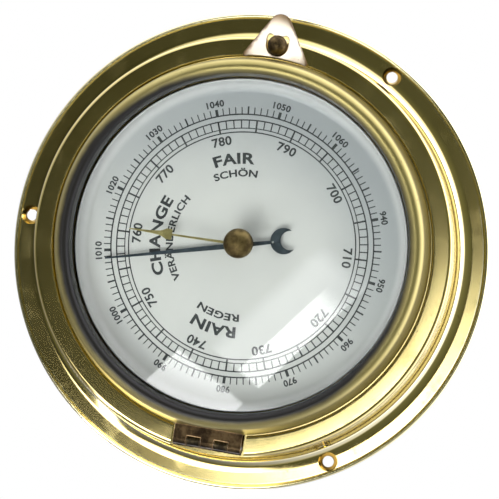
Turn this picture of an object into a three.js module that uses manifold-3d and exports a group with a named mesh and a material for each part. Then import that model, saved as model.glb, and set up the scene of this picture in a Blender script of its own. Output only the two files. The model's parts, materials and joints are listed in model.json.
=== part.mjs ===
// Aneroid barometer: a round brass instrument that screws to a wall or bulkhead.
//
// Every piece is drawn in the instrument's own frame: x to the right, y up the wall, and z
// the height out from the wall. The last group turns that frame so that the instrument hangs
// upright, with +Z up and its face looking along -Y. The origin is the middle of the back face.
// Clock angles are in degrees, clockwise from the top as seen from the front. Sizes are mm.

import * as THREE from "three";
import { mergeVertices } from "three/addons/utils/BufferGeometryUtils.js";
import Module from "manifold-3d";

// ---------------------------------------------------------------- driving dimensions

const gap = 0.3; // between two fixed pieces that touch on the real instrument

const flange = { radius: 90, front: 3.2, lipTop: 4.1, lipInner: 88.4, coveStart: 84, coveRadius: 6 };
const fixingHole = { circle: 84.8, radius: 2.2, sinkRadius: 3.6, sinkDepth: 2, clocks: [0, 120, 240] };
const drum = { radius: 76.4, footRadius: 77.8, footTop: 13, wallInner: 73.8, top: 36, edge: 1.6 };
const bezelSeat = { radius: 69, height: 34, under: 32, opening: 62.5 };
const coverSeat = { inner: 58, outer: 68.3, back: 1.8, front: 4.3 };
const screwCircle = 63;
const screwHole = 1.6;

const bezel = { radius: 68.6, base: 34.3, crest: 50, crestRadius: 63.5 };
const throat = { radius: 60.7, lip: 42.7, bore: 62.7 };
const glass = { radius: 62.4, edge: 40.4, thickness: 2, rise: 2, hole: 2.3 };
const hinge = { x: -72.3, height: 37.5, width: 25, knuckles: 5, notch: -66.8 };
const knuckle = { radius: 2.1, bore: 0.85, pin: 0.75 };
const hingePocket = hinge.width / 2 + 1; // half the length of the recess that the hinge lies in
const tab = {
  base: 68.95,
  halfAngle: 10,
  noseX: 80.9,
  noseRadius: 4,
  low: 38.4,
  high: 39.6,
  lift: 8,
  turn: -1,
};
const stud = { x: 73.4, y: -1.3, ball: 3.6, height: 39.9, stem: 1.8, hole: 3.9 };

const dial = { back: 33.2, front: 34, flat: 55.4, rim: 60.3, rimTop: 40, hole: 2.4 };
const pointer = { clock: -14.65, length: 50, low: 35.7, high: 36.3, tail: 15.5, moon: 4.8, moonCut: 3.5 };
const setHand = { clock: -1, length: 40.8, barb: 24, low: 39.7, high: 40.2 };

const plate = { radius: 66, low: 4.6, high: 6.1 };
const standing = plate.high + gap; // foot of everything that stands on the movement plate
const capsule = { radius: 25, low: 7.2, high: 12.8, boss: 5 };
const springAxis = { x: -34, height: 16.5 };
const leverEnd = 29;
const rocker = { x: 32, height: 20, radius: 1, crank: 4, chainArm: 9, halfLength: 14 };
const roller = { radius: 0.7, low: 27.8, high: 30.2 };
const pillarY = 34;
const lowerBridge = { low: 22, high: 23.5 };
const topBridge = { low: 30.9, high: 32.1 };
const arbor = { radius: 0.45, low: 21.6, high: 37.9 };

// ---------------------------------------------------------------- materials

function finish(color, roughness, metalness) {
  return new THREE.MeshStandardMaterial({ color, roughness, metalness });
}

const brass = finish(0xa58a45, 0.3, 1);
const darkBrass = finish(0x4d4428, 0.4, 1);
const innerBrass = finish(0xb89a55, 0.45, 1);
const steel = finish(0x8d9196, 0.35, 1);
const blueSteel = finish(0x2d3a48, 0.3, 1);
const nickel = finish(0xb5b3ac, 0.35, 1);
const rubber = finish(0x1d1d1c, 0.8, 0);
const dialPaint = finish(0xb4bcbc, 0.55, 0);
const clearGlass = new THREE.MeshStandardMaterial({
  color: 0xdfe8e6,
  roughness: 0.05,
  metalness: 0,
  transparent: true,
  opacity: 0.3,
});

// ---------------------------------------------------------------- shaping tools

const wasm = await Module();
wasm.setup();

const radians = THREE.MathUtils.degToRad;

// The x and y of a point on a circle at a clock angle.
function atClock(radius, clock) {
  return [radius * Math.sin(radians(clock)), radius * Math.cos(radians(clock))];
}

// Merges shared vertices, drops collapsed triangles and turns the faces outward.
function closed(geometry) {
  const bare = geometry.clone();
  bare.deleteAttribute("normal");
  bare.deleteAttribute("uv");
  const merged = mergeVertices(bare, 1e-4);
  const corners = Array.from(merged.index.array);
  const point = [0, 1, 2].map(() => new THREE.Vector3());
  const kept = [];
  let volume = 0;
  for (let i = 0; i < corners.length; i += 3) {
    const [a, b, c] = corners.slice(i, i + 3);
    if (a === b || b === c || c === a) continue;
    kept.push(a, b, c);
    [a, b, c].forEach((corner, k) => point[k].fromBufferAttribute(merged.attributes.position, corner));
    volume += point[0].dot(point[1].cross(point[2]));
  }
  merged.setIndex(volume < 0 ? kept.reverse() : kept);
  return merged;
}

function toSolid(geometry) {
  const mesh = closed(geometry);
  return new wasm.Manifold(
    new wasm.Mesh({
      numProp: 3,
      vertProperties: new Float32Array(mesh.attributes.position.array),
      triVerts: new Uint32Array(mesh.index.array),
    }),
  );
}

function toGeometry(solid) {
  const mesh = solid.getMesh();
  const geometry = new THREE.BufferGeometry();
  geometry.setAttribute("position", new THREE.BufferAttribute(mesh.vertProperties, 3));
  geometry.setIndex(new THREE.BufferAttribute(mesh.triVerts, 1));
  return geometry;
}

function cut(base, ...tools) {
  return toGeometry(tools.reduce((solid, tool) => solid.subtract(toSolid(tool)), toSolid(base)));
}

function join(first, ...others) {
  return toGeometry(others.reduce((solid, other) => solid.add(toSolid(other)), toSolid(first)));
}

// A turned piece. The profile is [radius, height] pairs that start and end on the axis, or a ring.
function turned(profile, segments = 32) {
  const points = profile.map(([radius, height]) => new THREE.Vector2(radius, height));
  if (profile[0][0] > 0) points.push(points[0].clone());
  return new THREE.LatheGeometry(points, segments).rotateX(Math.PI / 2);
}

function ring(inner, outer, low, high, segments = 32) {
  return turned([[inner, low], [outer, low], [outer, high], [inner, high]], segments);
}

// A round bar that stands out from the wall.
function rod(radius, low, high, [x, y] = [0, 0], segments = 16) {
  const bar = new THREE.CylinderGeometry(radius, radius, high - low, segments);
  return bar.rotateX(Math.PI / 2).translate(x, y, (low + high) / 2);
}

// A round bar that lies along y.
function crossRod(radius, fromY, toY, x, height, segments = 16) {
  const bar = new THREE.CylinderGeometry(radius, radius, toY - fromY, segments);
  return bar.translate(x, (fromY + toY) / 2, height);
}

function block(fromX, toX, fromY, toY, low, high) {
  const box = new THREE.BoxGeometry(toX - fromX, toY - fromY, high - low);
  return box.translate((fromX + toX) / 2, (fromY + toY) / 2, (low + high) / 2);
}

function sheet(shape, low, high, curveSegments = 16) {
  const options = { depth: high - low, bevelEnabled: false, curveSegments };
  return new THREE.ExtrudeGeometry(shape, options).translate(0, 0, low);
}

// Points along a circular arc, for a turned profile. Angles are degrees from the radius direction.
function arc(radius, centre, from, to, steps) {
  const points = [];
  for (let i = 0; i <= steps; i += 1) {
    const angle = radians(from + ((to - from) * i) / steps);
    points.push([centre[0] + radius * Math.cos(angle), centre[1] + radius * Math.sin(angle)]);
  }
  return points;
}

function mesh(name, geometry, material) {
  const part = new THREE.Mesh(closed(geometry), material);
  part.name = name;
  return part;
}

// ---------------------------------------------------------------- case

// The spun shell: flange with a rolled lip, cove, drum, shoulder, bezel seat and cover seat.
function caseShell() {
  const cove = arc(flange.coveRadius, [flange.coveStart, flange.front + flange.coveRadius], 270, 186, 3);
  const edge = arc(drum.edge, [drum.radius - drum.edge, drum.top - drum.edge], 0, 90, 3);
  const body = turned(
    [
      [coverSeat.outer, 0],
      [flange.radius - 0.6, 0],
      ...arc(0.9, [flange.radius - 0.9, flange.lipTop - 0.9], 0, 150, 3),
      [flange.lipInner, flange.front],
      ...cove,
      [drum.footRadius, drum.footTop],
      ...edge,
      [bezelSeat.radius, drum.top],
      [bezelSeat.radius, bezelSeat.height],
      [bezelSeat.opening, bezelSeat.height],
      [bezelSeat.opening, bezelSeat.under],
      [drum.wallInner, bezelSeat.under],
      [drum.wallInner + 0.8, coverSeat.front],
      [coverSeat.inner, coverSeat.front],
      [coverSeat.inner, coverSeat.back],
      [coverSeat.outer, coverSeat.back],
    ],
    56,
  );
  const pocketFloor = bezelSeat.height + 0.1;
  const pocket = block(-drum.radius - 4, -bezelSeat.radius + 2, -hingePocket, hingePocket, pocketFloor, 40);
  const studHole = rod(stud.stem + gap, drum.top - 2.4, drum.top + 1, [stud.x, stud.y]);
  const seatHoles = [0, 60, 120, 180, 240, 300].map((clock) =>
    rod(screwHole, 1, 5, atClock(screwCircle, clock), 12),
  );
  return cut(body, pocket, studHole, ...fixingHole.clocks.map(fixingHoleTool), ...seatHoles);
}

function fixingHoleTool(clock) {
  const sinkFoot = flange.front - fixingHole.sinkDepth;
  const tool = turned(
    [
      [0, -1],
      [fixingHole.radius, -1],
      [fixingHole.radius, sinkFoot],
      [fixingHole.sinkRadius, flange.front],
      [fixingHole.sinkRadius, flange.front + 2],
      [0, flange.front + 2],
    ],
    16,
  );
  const [x, y] = atClock(fixingHole.circle, clock);
  return tool.translate(x, y, 0);
}

const coverScrewClocks = [0, 120, 240];
const movementScrewClocks = [60, 180, 300];
const coverThickness = coverSeat.back - gap;
const sinkHead = 2.9;

function rearCover() {
  const disc = rod(coverSeat.outer - gap, 0, coverThickness, [0, 0], 48);
  const screwSinks = coverScrewClocks.map((clock) => {
    const [x, y] = atClock(screwCircle, clock);
    const mouth = sinkHead + gap;
    const sink = [[0, -1], [mouth, -1], [mouth, 0], [screwHole, 1.3], [screwHole, 3], [0, 3]];
    return turned(sink, 16).translate(x, y, 0);
  });
  const adjusterHole = rod(3.2, -1, 3, [springAxis.x - 2, 0]);
  return cut(disc, adjusterHole, ...screwSinks);
}

function coverScrew(clock) {
  const [x, y] = atClock(screwCircle, clock);
  const shank = screwHole - gap;
  const tip = coverSeat.front - 0.1;
  const body = turned([[0, 0], [sinkHead, 0], [shank, 1.3], [shank, tip], [0, tip]], 16);
  const slot = block(-4, 4, -0.35, 0.35, -1, 0.5);
  return cut(body, slot).translate(x, y, 0);
}

function cheeseScrew(clock, head) {
  const [x, y] = atClock(screwCircle, clock);
  const shank = screwHole - gap;
  const top = head + 1.5;
  const body = turned([[0, 2.1], [shank, 2.1], [shank, head], [2.6, head], [2.6, top], [0, top]], 16);
  const slot = block(-3, 3, -0.35, 0.35, head + 0.8, head + 3);
  return cut(body, slot).translate(x, y, 0);
}

function latchStud() {
  const foot = Math.asin(-Math.sqrt(1 - (stud.stem / stud.ball) ** 2));
  const ball = arc(stud.ball, [0, stud.height], THREE.MathUtils.radToDeg(foot), 90, 7);
  ball[ball.length - 1][0] = 0;
  const stemFoot = drum.top - 2.1;
  return turned([[0, stemFoot], [stud.stem, stemFoot], ...ball], 20).translate(stud.x, stud.y, 0);
}

// ---------------------------------------------------------------- hinge

const knuckleStep = hinge.width / hinge.knuckles;

function knuckleSpan(index) {
  const start = -hinge.width / 2 + index * knuckleStep;
  return [start + 0.1, start + knuckleStep - 0.1];
}

// A leaf is a plate and every second knuckle, with the other leaf's knuckles cut clear of the plate.
function hingeLeaf(leafPlate, ownKnuckles) {
  let leaf = leafPlate;
  for (let index = 0; index < hinge.knuckles; index += 1) {
    const [from, to] = knuckleSpan(index);
    const own = ownKnuckles.includes(index);
    const clearance = crossRod(knuckle.radius + gap, from - 0.2, to + 0.2, hinge.x, hinge.height, 20);
    const barrel = crossRod(knuckle.radius, from, to, hinge.x, hinge.height, 20);
    leaf = own ? join(leaf, barrel) : cut(leaf, clearance);
  }
  const half = hinge.width / 2;
  return cut(leaf, crossRod(knuckle.bore, -half - 1, half + 1, hinge.x, hinge.height, 12));
}

function fixedLeaf() {
  const half = hinge.width / 2 - 0.1;
  const low = bezelSeat.height + 0.1 + gap;
  return hingeLeaf(block(-75, hinge.x + 0.4, -half, half, low, low + 1.6), [1, 3]);
}

function hingePin() {
  return crossRod(knuckle.pin, -hinge.width / 2, hinge.width / 2, hinge.x, hinge.height, 12);
}

const movingLeafLow = hinge.height + 0.8;

function movingLeaf() {
  const half = hinge.width / 2 - 0.1;
  const top = movingLeafLow + 1.2;
  const leafPlate = block(hinge.x - 0.2, hinge.notch - gap, -half, half, movingLeafLow, top);
  return hingeLeaf(leafPlate, [0, 2, 4]);
}

// ---------------------------------------------------------------- bezel

function bezelRing() {
  const body = turned(
    [
      [bezel.radius, bezel.base],
      [bezel.radius, bezel.base + 1.7],
      [bezel.radius - 2.2, bezel.crest - 3.4],
      [bezel.radius - 2.8, bezel.crest - 1.8],
      [bezel.radius - 3.9, bezel.crest - 0.6],
      [bezel.crestRadius, bezel.crest],
      [bezel.crestRadius - 1.1, bezel.crest - 0.5],
      [bezel.crestRadius - 2, bezel.crest - 1.9],
      [throat.radius, bezel.crest - 4],
      [throat.radius, throat.lip],
      [throat.bore, throat.lip],
      [throat.bore, bezel.base],
    ],
    56,
  );
  const notchLow = movingLeafLow - 0.4;
  const notch = block(-bezel.radius - 4, hinge.notch, -hingePocket, hingePocket, notchLow, bezel.crest + 2);
  return cut(body, notch);
}

function glassPane() {
  const lower = [glass.hole, 25, 45, glass.radius].map((r) => [
    r,
    glass.edge + glass.rise * (1 - (r / glass.radius) ** 2),
  ]);
  const upper = lower.map(([r, height]) => [r, height + glass.thickness]).reverse();
  return turned([...lower, ...upper], 40);
}

// A rounded triangle, tilted so that its nose stands clear of the case for a finger.
function thumbTab() {
  const half = radians(tab.halfAngle);
  const side = radians(60);
  const outline = new THREE.Shape();
  outline.absarc(0, 0, tab.base, -half, half, false);
  outline.absarc(tab.noseX, 0, tab.noseRadius, side, -side, true);
  const studHole = rod(stud.hole, tab.low - 1, tab.high + 1, [stud.x + 0.1, 0], 28);
  const plate = cut(sheet(outline, tab.low, tab.high, 12), studHole).translate(-tab.base, 0, -tab.low);
  plate.rotateY(-radians(tab.lift)).translate(tab.base, 0, tab.low);
  return plate.rotateZ(radians(tab.turn));
}

// ---------------------------------------------------------------- set hand and its bush

const bush = { radius: 2, bore: 1.15, flange: 3.6, low: 41.2, seat: 44.7, high: 45.5 };
const setShaft = { radius: 1, low: 39.2, high: 47 };

function glassBush() {
  const { radius, bore, low, seat, high } = bush;
  const wide = bush.flange;
  return turned([[bore, low], [radius, low], [radius, seat], [wide, seat], [wide, high], [bore, high]], 20);
}

function setKnob() {
  const { radius, high } = setShaft;
  const base = bush.high + gap;
  return turned(
    [
      [0, high + gap],
      [radius + 0.2, high + gap],
      [radius + 0.2, base],
      [4.8, base],
      [5.4, base + 0.7],
      [5.3, base + 1.7],
      [4.5, base + 2.9],
      [3.0, base + 3.7],
      [0, base + 4.2],
    ],
    32,
  );
}

// A thin arm with a barb that tapers to a needle. It points straight up before it is turned.
function setHandBlade() {
  const hub = 2.8;
  const barb = setHand.barb;
  const side = [[0.55, barb], [1.9, barb], [1.9, barb + 1.8], [0.6, 33], [0.22, setHand.length]];
  const start = Math.acos(0.55 / hub);
  const outline = new THREE.Shape();
  outline.moveTo(0.55, hub * Math.sin(start));
  side.forEach(([x, y]) => outline.lineTo(x, y));
  side.reverse().forEach(([x, y]) => outline.lineTo(-x, y));
  outline.absarc(0, 0, hub, Math.PI - start, 2 * Math.PI + start, false);
  const blade = sheet(outline, setHand.low, setHand.high, 12);
  const shaftHole = rod(setShaft.radius + 0.15, setHand.low - 1, setHand.high + 1);
  return cut(blade, shaftHole).rotateZ(-radians(setHand.clock));
}

// ---------------------------------------------------------------- dial and pointer

function dialPlate() {
  const { back, front, flat, rim, rimTop, hole } = dial;
  return turned(
    [
      [hole, back],
      [flat, back],
      [flat + 2.4, back + 0.8],
      [rim - 0.5, back + 2.6],
      [rim, back + 5],
      [rim, rimTop],
      [rim - 0.7, rimTop],
      [rim - 1.2, front + 2.2],
      [flat + 1.9, front + 0.7],
      [flat - 0.2, front],
      [hole, front],
    ],
    48,
  );
}

// A long tapering arm, and a tail that ends in a crescent open at its outer side.
function pointerBlade() {
  const { low, high, length, tail, moon, moonCut } = pointer;
  const arm = new THREE.Shape();
  const side = [[0.7, -tail + moon - 0.6], [0.95, 0], [0.3, length]];
  side.forEach(([x, y], index) => (index ? arm.lineTo(x, y) : arm.moveTo(x, y)));
  side.reverse().forEach(([x, y]) => arm.lineTo(-x, y));
  const crescent = cut(
    rod(moon, low, high, [0, -tail], 28),
    rod(moonCut, low - 1, high + 1, [0, -tail - 2.4], 24),
  );
  const blade = join(sheet(arm, low, high), rod(3.1, low, high, [0, 0], 24), crescent);
  return cut(blade, rod(2.1, low - 1, high + 1)).rotateZ(-radians(pointer.clock));
}

// ---------------------------------------------------------------- movement

function movementPlate() {
  const disc = rod(plate.radius, plate.low, plate.high, [0, 0], 48);
  const holes = movementScrewClocks.map((clock) => rod(screwHole, 4, 7, atClock(screwCircle, clock), 12));
  return cut(disc, rod(2, 4, 7, [springAxis.x - 2, 0], 12), ...holes);
}

// The evacuated box: two corrugated diaphragms soldered at the rim, with a boss underneath.
function aneroidCapsule() {
  const steps = [
    [capsule.boss + 1, 1.6],
    [10, 0.8],
    [14, 1.5],
    [18, 0.7],
    [21, 1.4],
  ];
  const middle = (capsule.low + capsule.high) / 2;
  const under = steps.map(([radius, wave]) => [radius, capsule.low + wave - 0.6]);
  const over = steps.map(([radius, wave]) => [radius, capsule.high - wave + 0.6]).reverse();
  return turned(
    [
      [0, standing],
      [capsule.boss, standing],
      [capsule.boss, capsule.low + 1],
      ...under,
      [capsule.radius, middle - 0.6],
      [capsule.radius, middle + 0.6],
      ...over,
      [capsule.boss, capsule.high],
      [0, capsule.high],
    ],
    28,
  );
}

// An arch over the edge of the capsule. Its bar carries the main spring's fixed edge.
function springSupport() {
  const bar = block(springAxis.x - 4.5, springAxis.x - 0.5, -15, 15, 15, 18);
  const back = springAxis.x - 4.5;
  const feet = [-12.5, 12.5].map((y) => block(back, back + 4, y - 2.5, y + 2.5, standing, 16));
  return join(bar, ...feet);
}

function mainSpring() {
  const { x, height } = springAxis;
  const outline = new THREE.Shape();
  outline.setFromPoints([[x, -11], [6, -5], [6, 5], [x, 11]].map((point) => new THREE.Vector2(...point)));
  return cut(sheet(outline, height - 0.5, height + 0.5), rod(2.6, height - 2, height + 2));
}

function mainLever() {
  const low = springAxis.height - 0.5;
  return join(block(6.3, leverEnd, -1.2, 1.2, low, low + 1.2), rod(1.8, low, low + 1.2, [leverEnd, 0], 12));
}

function connectingLink() {
  const x = rocker.x - rocker.crank;
  return rod(0.7, springAxis.height + 1, rocker.height - 0.9, [x, 0], 10);
}

function capsulePost() {
  const foot = capsule.high + 0.8;
  return turned([[0, foot], [1.8, foot], [1.8, 17.5], [3.6, 17.5], [3.6, 18.9], [0, 18.9]], 16);
}

// The rocking shaft turns lever movement into chain movement: a short crank and a long upright arm.
function rockingShaft() {
  const { x, height, radius, crank, halfLength } = rocker;
  const shaft = crossRod(radius, -halfLength, halfLength, x, height, 12);
  return join(shaft, block(x - crank - 0.6, x, -0.8, 0.8, height - 0.6, height + 0.6));
}

const chainY = -roller.radius - 0.25;

function chainArm() {
  const { x, height, radius, chainArm: reach } = rocker;
  const foot = height + radius + 0.1;
  return join(
    block(x - 0.6, x + 0.6, chainY - 1, chainY + 1, foot, height + reach + 0.8),
    block(x - 2, x + 2, chainY - 1.6, chainY + 1.6, foot, foot + 1),
  );
}

function rockerBracket(y) {
  const { x, height, radius } = rocker;
  const post = block(x - 2.5, x + 2.5, y - 1.2, y + 1.2, standing, height + 3);
  return cut(post, crossRod(radius + 0.1, y - 2, y + 2, x, height, 12));
}

function pillar(side, foot, bridgeLow) {
  return rod(2.5, foot, bridgeLow - gap, [0, side * pillarY]);
}

function bridge({ low, high }) {
  const bar = block(-3.5, 3.5, -pillarY - 3, pillarY + 3, low, high);
  return cut(bar, rod(arbor.radius + 0.1, low - 1, high + 1, [0, 0], 10));
}

function chainRoller() {
  const { radius, low, high } = roller;
  const bore = arbor.radius + 0.05;
  const cheek = 2;
  return turned(
    [
      [bore, low],
      [cheek, low],
      [cheek, low + 0.5],
      [radius, low + 0.5],
      [radius, high - 0.5],
      [cheek, high - 0.5],
      [cheek, high],
      [bore, high],
    ],
    16,
  );
}

// A flat spiral strip, wound outward from the arbor's collet to the stud.
function hairspring() {
  const turns = 3;
  const steps = 16 * turns;
  const spiral = (step, offset) => {
    const angle = (2 * Math.PI * turns * step) / steps;
    const radius = 2 + (5 * step) / steps + offset;
    return [radius * Math.cos(angle), radius * Math.sin(angle)];
  };
  const outline = new THREE.Shape();
  outline.moveTo(...spiral(0, 0));
  for (let step = 1; step <= steps; step += 1) outline.lineTo(...spiral(step, 0));
  for (let step = steps; step >= 0; step -= 1) outline.lineTo(...spiral(step, 0.25));
  return sheet(outline, 25, 25.8);
}

function adjustingScrew() {
  const top = 14.6;
  const headLow = 2;
  const body = turned([[0, headLow], [2.6, headLow], [2.6, 4.2], [1.5, 4.2], [1.5, top], [0, top]], 16);
  return cut(body, block(-4, 4, -0.4, 0.4, 1, headLow + 0.9)).translate(springAxis.x - 2, 0, 0);
}

// ---------------------------------------------------------------- assembly

const casePieces = [
  mesh("case_shell", caseShell(), brass),
  mesh("rear_cover", rearCover(), brass),
  ...coverScrewClocks.map((clock, i) => mesh(`rear_cover_screw_${i + 1}`, coverScrew(clock), brass)),
  mesh("latch_stud", latchStud(), darkBrass),
  mesh("hinge_fixed_leaf", fixedLeaf(), darkBrass),
  mesh("hinge_pin", hingePin(), steel),
  mesh("dial", dialPlate(), dialPaint),
  ...[30, 150, 270].map((clock, i) =>
    mesh(`dial_foot_${i + 1}`, rod(1.6, standing, dial.back - gap, atClock(50, clock), 12), innerBrass),
  ),
];

const movementPieces = [
  mesh("movement_plate", movementPlate(), innerBrass),
  ...movementScrewClocks.map((clock, i) => {
    return mesh(`movement_screw_${i + 1}`, cheeseScrew(clock, standing), steel);
  }),
  mesh("aneroid_capsule", aneroidCapsule(), nickel),
  mesh("spring_support", springSupport(), innerBrass),
  mesh("lower_bridge", bridge(lowerBridge), innerBrass),
  mesh("top_bridge", bridge(topBridge), innerBrass),
  ...[-1, 1].flatMap((side, i) => [
    mesh(`lower_pillar_${i + 1}`, pillar(side, standing, lowerBridge.low), innerBrass),
    mesh(`upper_pillar_${i + 1}`, pillar(side, lowerBridge.high + gap, topBridge.low), innerBrass),
    mesh(`rocker_bracket_${i + 1}`, rockerBracket(side * (rocker.halfLength - 1)), innerBrass),
  ]),
  mesh("hairspring", hairspring(), blueSteel),
  mesh("hairspring_stud", rod(0.8, lowerBridge.high + gap, 26, [0, -8.6], 10), innerBrass),
];

const bezelPieces = [
  mesh("bezel_ring", bezelRing(), brass),
  mesh("glass", glassPane(), clearGlass),
  mesh("glass_gasket", ring(61.2, glass.radius, 39.3, glass.edge - gap, 48), rubber),
  mesh("glass_retaining_ring", ring(61, glass.radius, 37.6, 39, 48), darkBrass),
  mesh("hinge_moving_leaf", movingLeaf(), brass),
  mesh("thumb_tab", thumbTab(), brass),
  mesh("glass_bush", glassBush(), brass),
  mesh("bush_nut", ring(bush.radius + 0.1, 3.6, bush.low, 42.1, 16), brass),
];

const setHandPieces = [
  mesh("set_knob", setKnob(), darkBrass),
  mesh("set_shaft", rod(setShaft.radius, setShaft.low, setShaft.high), brass),
  mesh("set_hand", setHandBlade(), brass),
];

const pointerPieces = [
  mesh("centre_arbor", rod(arbor.radius, arbor.low, arbor.high, [0, 0], 10), steel),
  mesh("chain_roller", chainRoller(), steel),
  mesh("hairspring_collet", ring(arbor.radius + 0.1, 1.6, 25, 25.8, 12), innerBrass),
  mesh("pointer_collet", ring(arbor.radius + 0.1, 1.9, 35, 37.6, 16), blueSteel),
  mesh("pointer", pointerBlade(), blueSteel),
];

const linkagePieces = [
  mesh("main_spring", mainSpring(), steel),
  mesh("main_lever", mainLever(), innerBrass),
  mesh("capsule_post", capsulePost(), steel),
  mesh("connecting_link", connectingLink(), steel),
  mesh("rocking_shaft", rockingShaft(), steel),
  mesh("chain_arm", chainArm(), innerBrass),
  mesh("chain", block(1, rocker.x - 1.1, chainY - 0.2, chainY + 0.2, 28.8, 29.2), steel),
  mesh("adjusting_screw", adjustingScrew(), steel),
];

const group = new THREE.Group();
group.rotation.x = Math.PI / 2;
group.add(...casePieces, ...movementPieces, ...bezelPieces);
group.add(...setHandPieces, ...pointerPieces, ...linkagePieces);

export default group;
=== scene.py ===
"""Looks of a brass aneroid barometer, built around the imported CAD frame.

Shapes are drawn in the instrument's own millimetres: x to the right, y up the wall, and h the
height out from the wall. spot() turns them into the frame's metres, where the wall is the plane
y = 0 and the face looks along -Y. Clock angles are degrees clockwise from the top, seen from the front.
"""

import json
import math

import bmesh
import bpy
from mathutils import Matrix, Vector


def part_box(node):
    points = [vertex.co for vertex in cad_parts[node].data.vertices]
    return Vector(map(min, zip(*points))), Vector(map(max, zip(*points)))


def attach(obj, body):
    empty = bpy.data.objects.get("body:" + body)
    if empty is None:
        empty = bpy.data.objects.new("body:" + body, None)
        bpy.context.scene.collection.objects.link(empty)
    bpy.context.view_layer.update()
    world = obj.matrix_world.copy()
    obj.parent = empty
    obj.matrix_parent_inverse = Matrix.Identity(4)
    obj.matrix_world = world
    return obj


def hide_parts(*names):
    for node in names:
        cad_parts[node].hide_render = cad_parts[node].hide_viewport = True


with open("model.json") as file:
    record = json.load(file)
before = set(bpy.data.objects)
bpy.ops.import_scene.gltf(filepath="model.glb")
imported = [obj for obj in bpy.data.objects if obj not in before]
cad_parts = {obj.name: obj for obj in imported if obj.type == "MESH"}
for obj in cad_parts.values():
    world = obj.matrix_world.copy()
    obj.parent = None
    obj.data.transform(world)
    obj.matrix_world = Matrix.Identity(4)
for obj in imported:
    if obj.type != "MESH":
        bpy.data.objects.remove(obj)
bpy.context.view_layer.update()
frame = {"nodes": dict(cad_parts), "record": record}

MM = 0.001


def corner(node, side, axis):
    """One coordinate of a CAD node's box in mm: side 0 is the low corner and 1 the high one."""
    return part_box(node)[side][axis] / MM


# ------------------------------------------------------------------ driving dimensions from the frame

FLANGE = corner("case_shell", 1, 0)
CASE_TOP = -corner("case_shell", 0, 1)
BEZEL = corner("bezel_ring", 1, 0)
BEZEL_BASE = -corner("bezel_ring", 1, 1)
BEZEL_CREST = -corner("bezel_ring", 0, 1)
COVER = corner("rear_cover", 1, 0)
COVER_FRONT = -corner("rear_cover", 0, 1)
GLASS = corner("glass", 1, 0)
GLASS_BACK = -corner("glass", 1, 1)
DIAL_RIM = corner("dial", 1, 0)
DIAL_BACK = -corner("dial", 1, 1)
DIAL_TOP = -corner("dial", 0, 1)
DIAL_FRONT = DIAL_BACK + 0.8
TAB_NOSE = 84.9
TAB_BACK = 38.4
TAB_FRONT = 39.6
TAB_TURN = -1
STUD_RADIUS = (corner("latch_stud", 1, 0) - corner("latch_stud", 0, 0)) / 2
STUD_X = corner("latch_stud", 1, 0) - STUD_RADIUS
STUD_Y = (corner("latch_stud", 0, 2) + corner("latch_stud", 1, 2)) / 2
STUD_TOP = -corner("latch_stud", 0, 1)
STUD_FOOT = -corner("latch_stud", 1, 1)
PIN_RADIUS = (corner("hinge_pin", 1, 0) - corner("hinge_pin", 0, 0)) / 2
HINGE_X = corner("hinge_pin", 1, 0) - PIN_RADIUS
HINGE_H = -corner("hinge_pin", 0, 1) - PIN_RADIUS
HINGE_HALF = corner("hinge_pin", 1, 2)
POINTER_BACK = -corner("pointer", 1, 1)
POINTER_FRONT = -corner("pointer", 0, 1)
SET_HAND_BACK = -corner("set_hand", 1, 1)
SET_HAND_FRONT = -corner("set_hand", 0, 1)
KNOB_RADIUS = corner("set_knob", 1, 0)
KNOB_BASE = -corner("set_knob", 1, 1)
KNOB_TOP = -corner("set_knob", 0, 1)

FLANGE_FRONT = 3.2
HOLE_CIRCLE = 84.8
HOLE_CLOCKS = (0, 120, 240)
COVER_SCREW_CIRCLE = 63
COVER_SCREW_CLOCKS = (0, 120, 240)
COVER_SEAT_CLOCKS = range(0, 360, 60)
KNUCKLES = 5
DIAL_TURN = -2.4
TAB_LIFT = 8
POINTER_CLOCK = -14.65
SET_HAND_CLOCK = -1.0
ROUND = 192


# ------------------------------------------------------------------ mesh tools


def spot(x, y, h):
    return Vector((x, -h, y)) * MM


def on_clock(radius, clock):
    """The (x, y) of a point on a circle at a clock angle."""
    angle = math.radians(clock)
    return radius * math.sin(angle), radius * math.cos(angle)


def turn(point, clock):
    """A point turned clockwise about the instrument's middle."""
    angle = math.radians(-clock)
    x, y = point
    return x * math.cos(angle) - y * math.sin(angle), x * math.sin(angle) + y * math.cos(angle)


def arc(centre, radius, start, end, steps, stretch=1.0):
    """Points (r, h) along an arc of a turned profile; angles are degrees from the outward direction."""
    points = []
    for i in range(steps + 1):
        angle = math.radians(start + (end - start) * i / steps)
        height = centre[1] + radius * stretch * math.sin(angle)
        points.append((centre[0] + radius * math.cos(angle), height))
    return points


def lathe(profile, segments=ROUND, centre=(0, 0)):
    """Turns a profile of (r, h) points. It closes on itself unless it starts and ends on the axis."""
    bm = bmesh.new()
    on_axis = profile[0][0] == 0
    rings = []
    for radius, height in profile:
        if radius == 0:
            rings.append([bm.verts.new(spot(centre[0], centre[1], height))] * segments)
            continue
        ring = []
        for i in range(segments):
            x, y = on_clock(radius, 360 * i / segments)
            ring.append(bm.verts.new(spot(centre[0] + x, centre[1] + y, height)))
        rings.append(ring)
    pairs = list(zip(rings, rings[1:]))
    if not on_axis:
        pairs.append((rings[-1], rings[0]))
    for low, high in pairs:
        for i in range(segments):
            after = (i + 1) % segments
            loop = []
            for vert in (low[i], low[after], high[after], high[i]):
                if vert not in loop:
                    loop.append(vert)
            if len(loop) > 2:
                bm.faces.new(loop)
    bmesh.ops.recalc_face_normals(bm, faces=bm.faces)
    return bm


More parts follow.
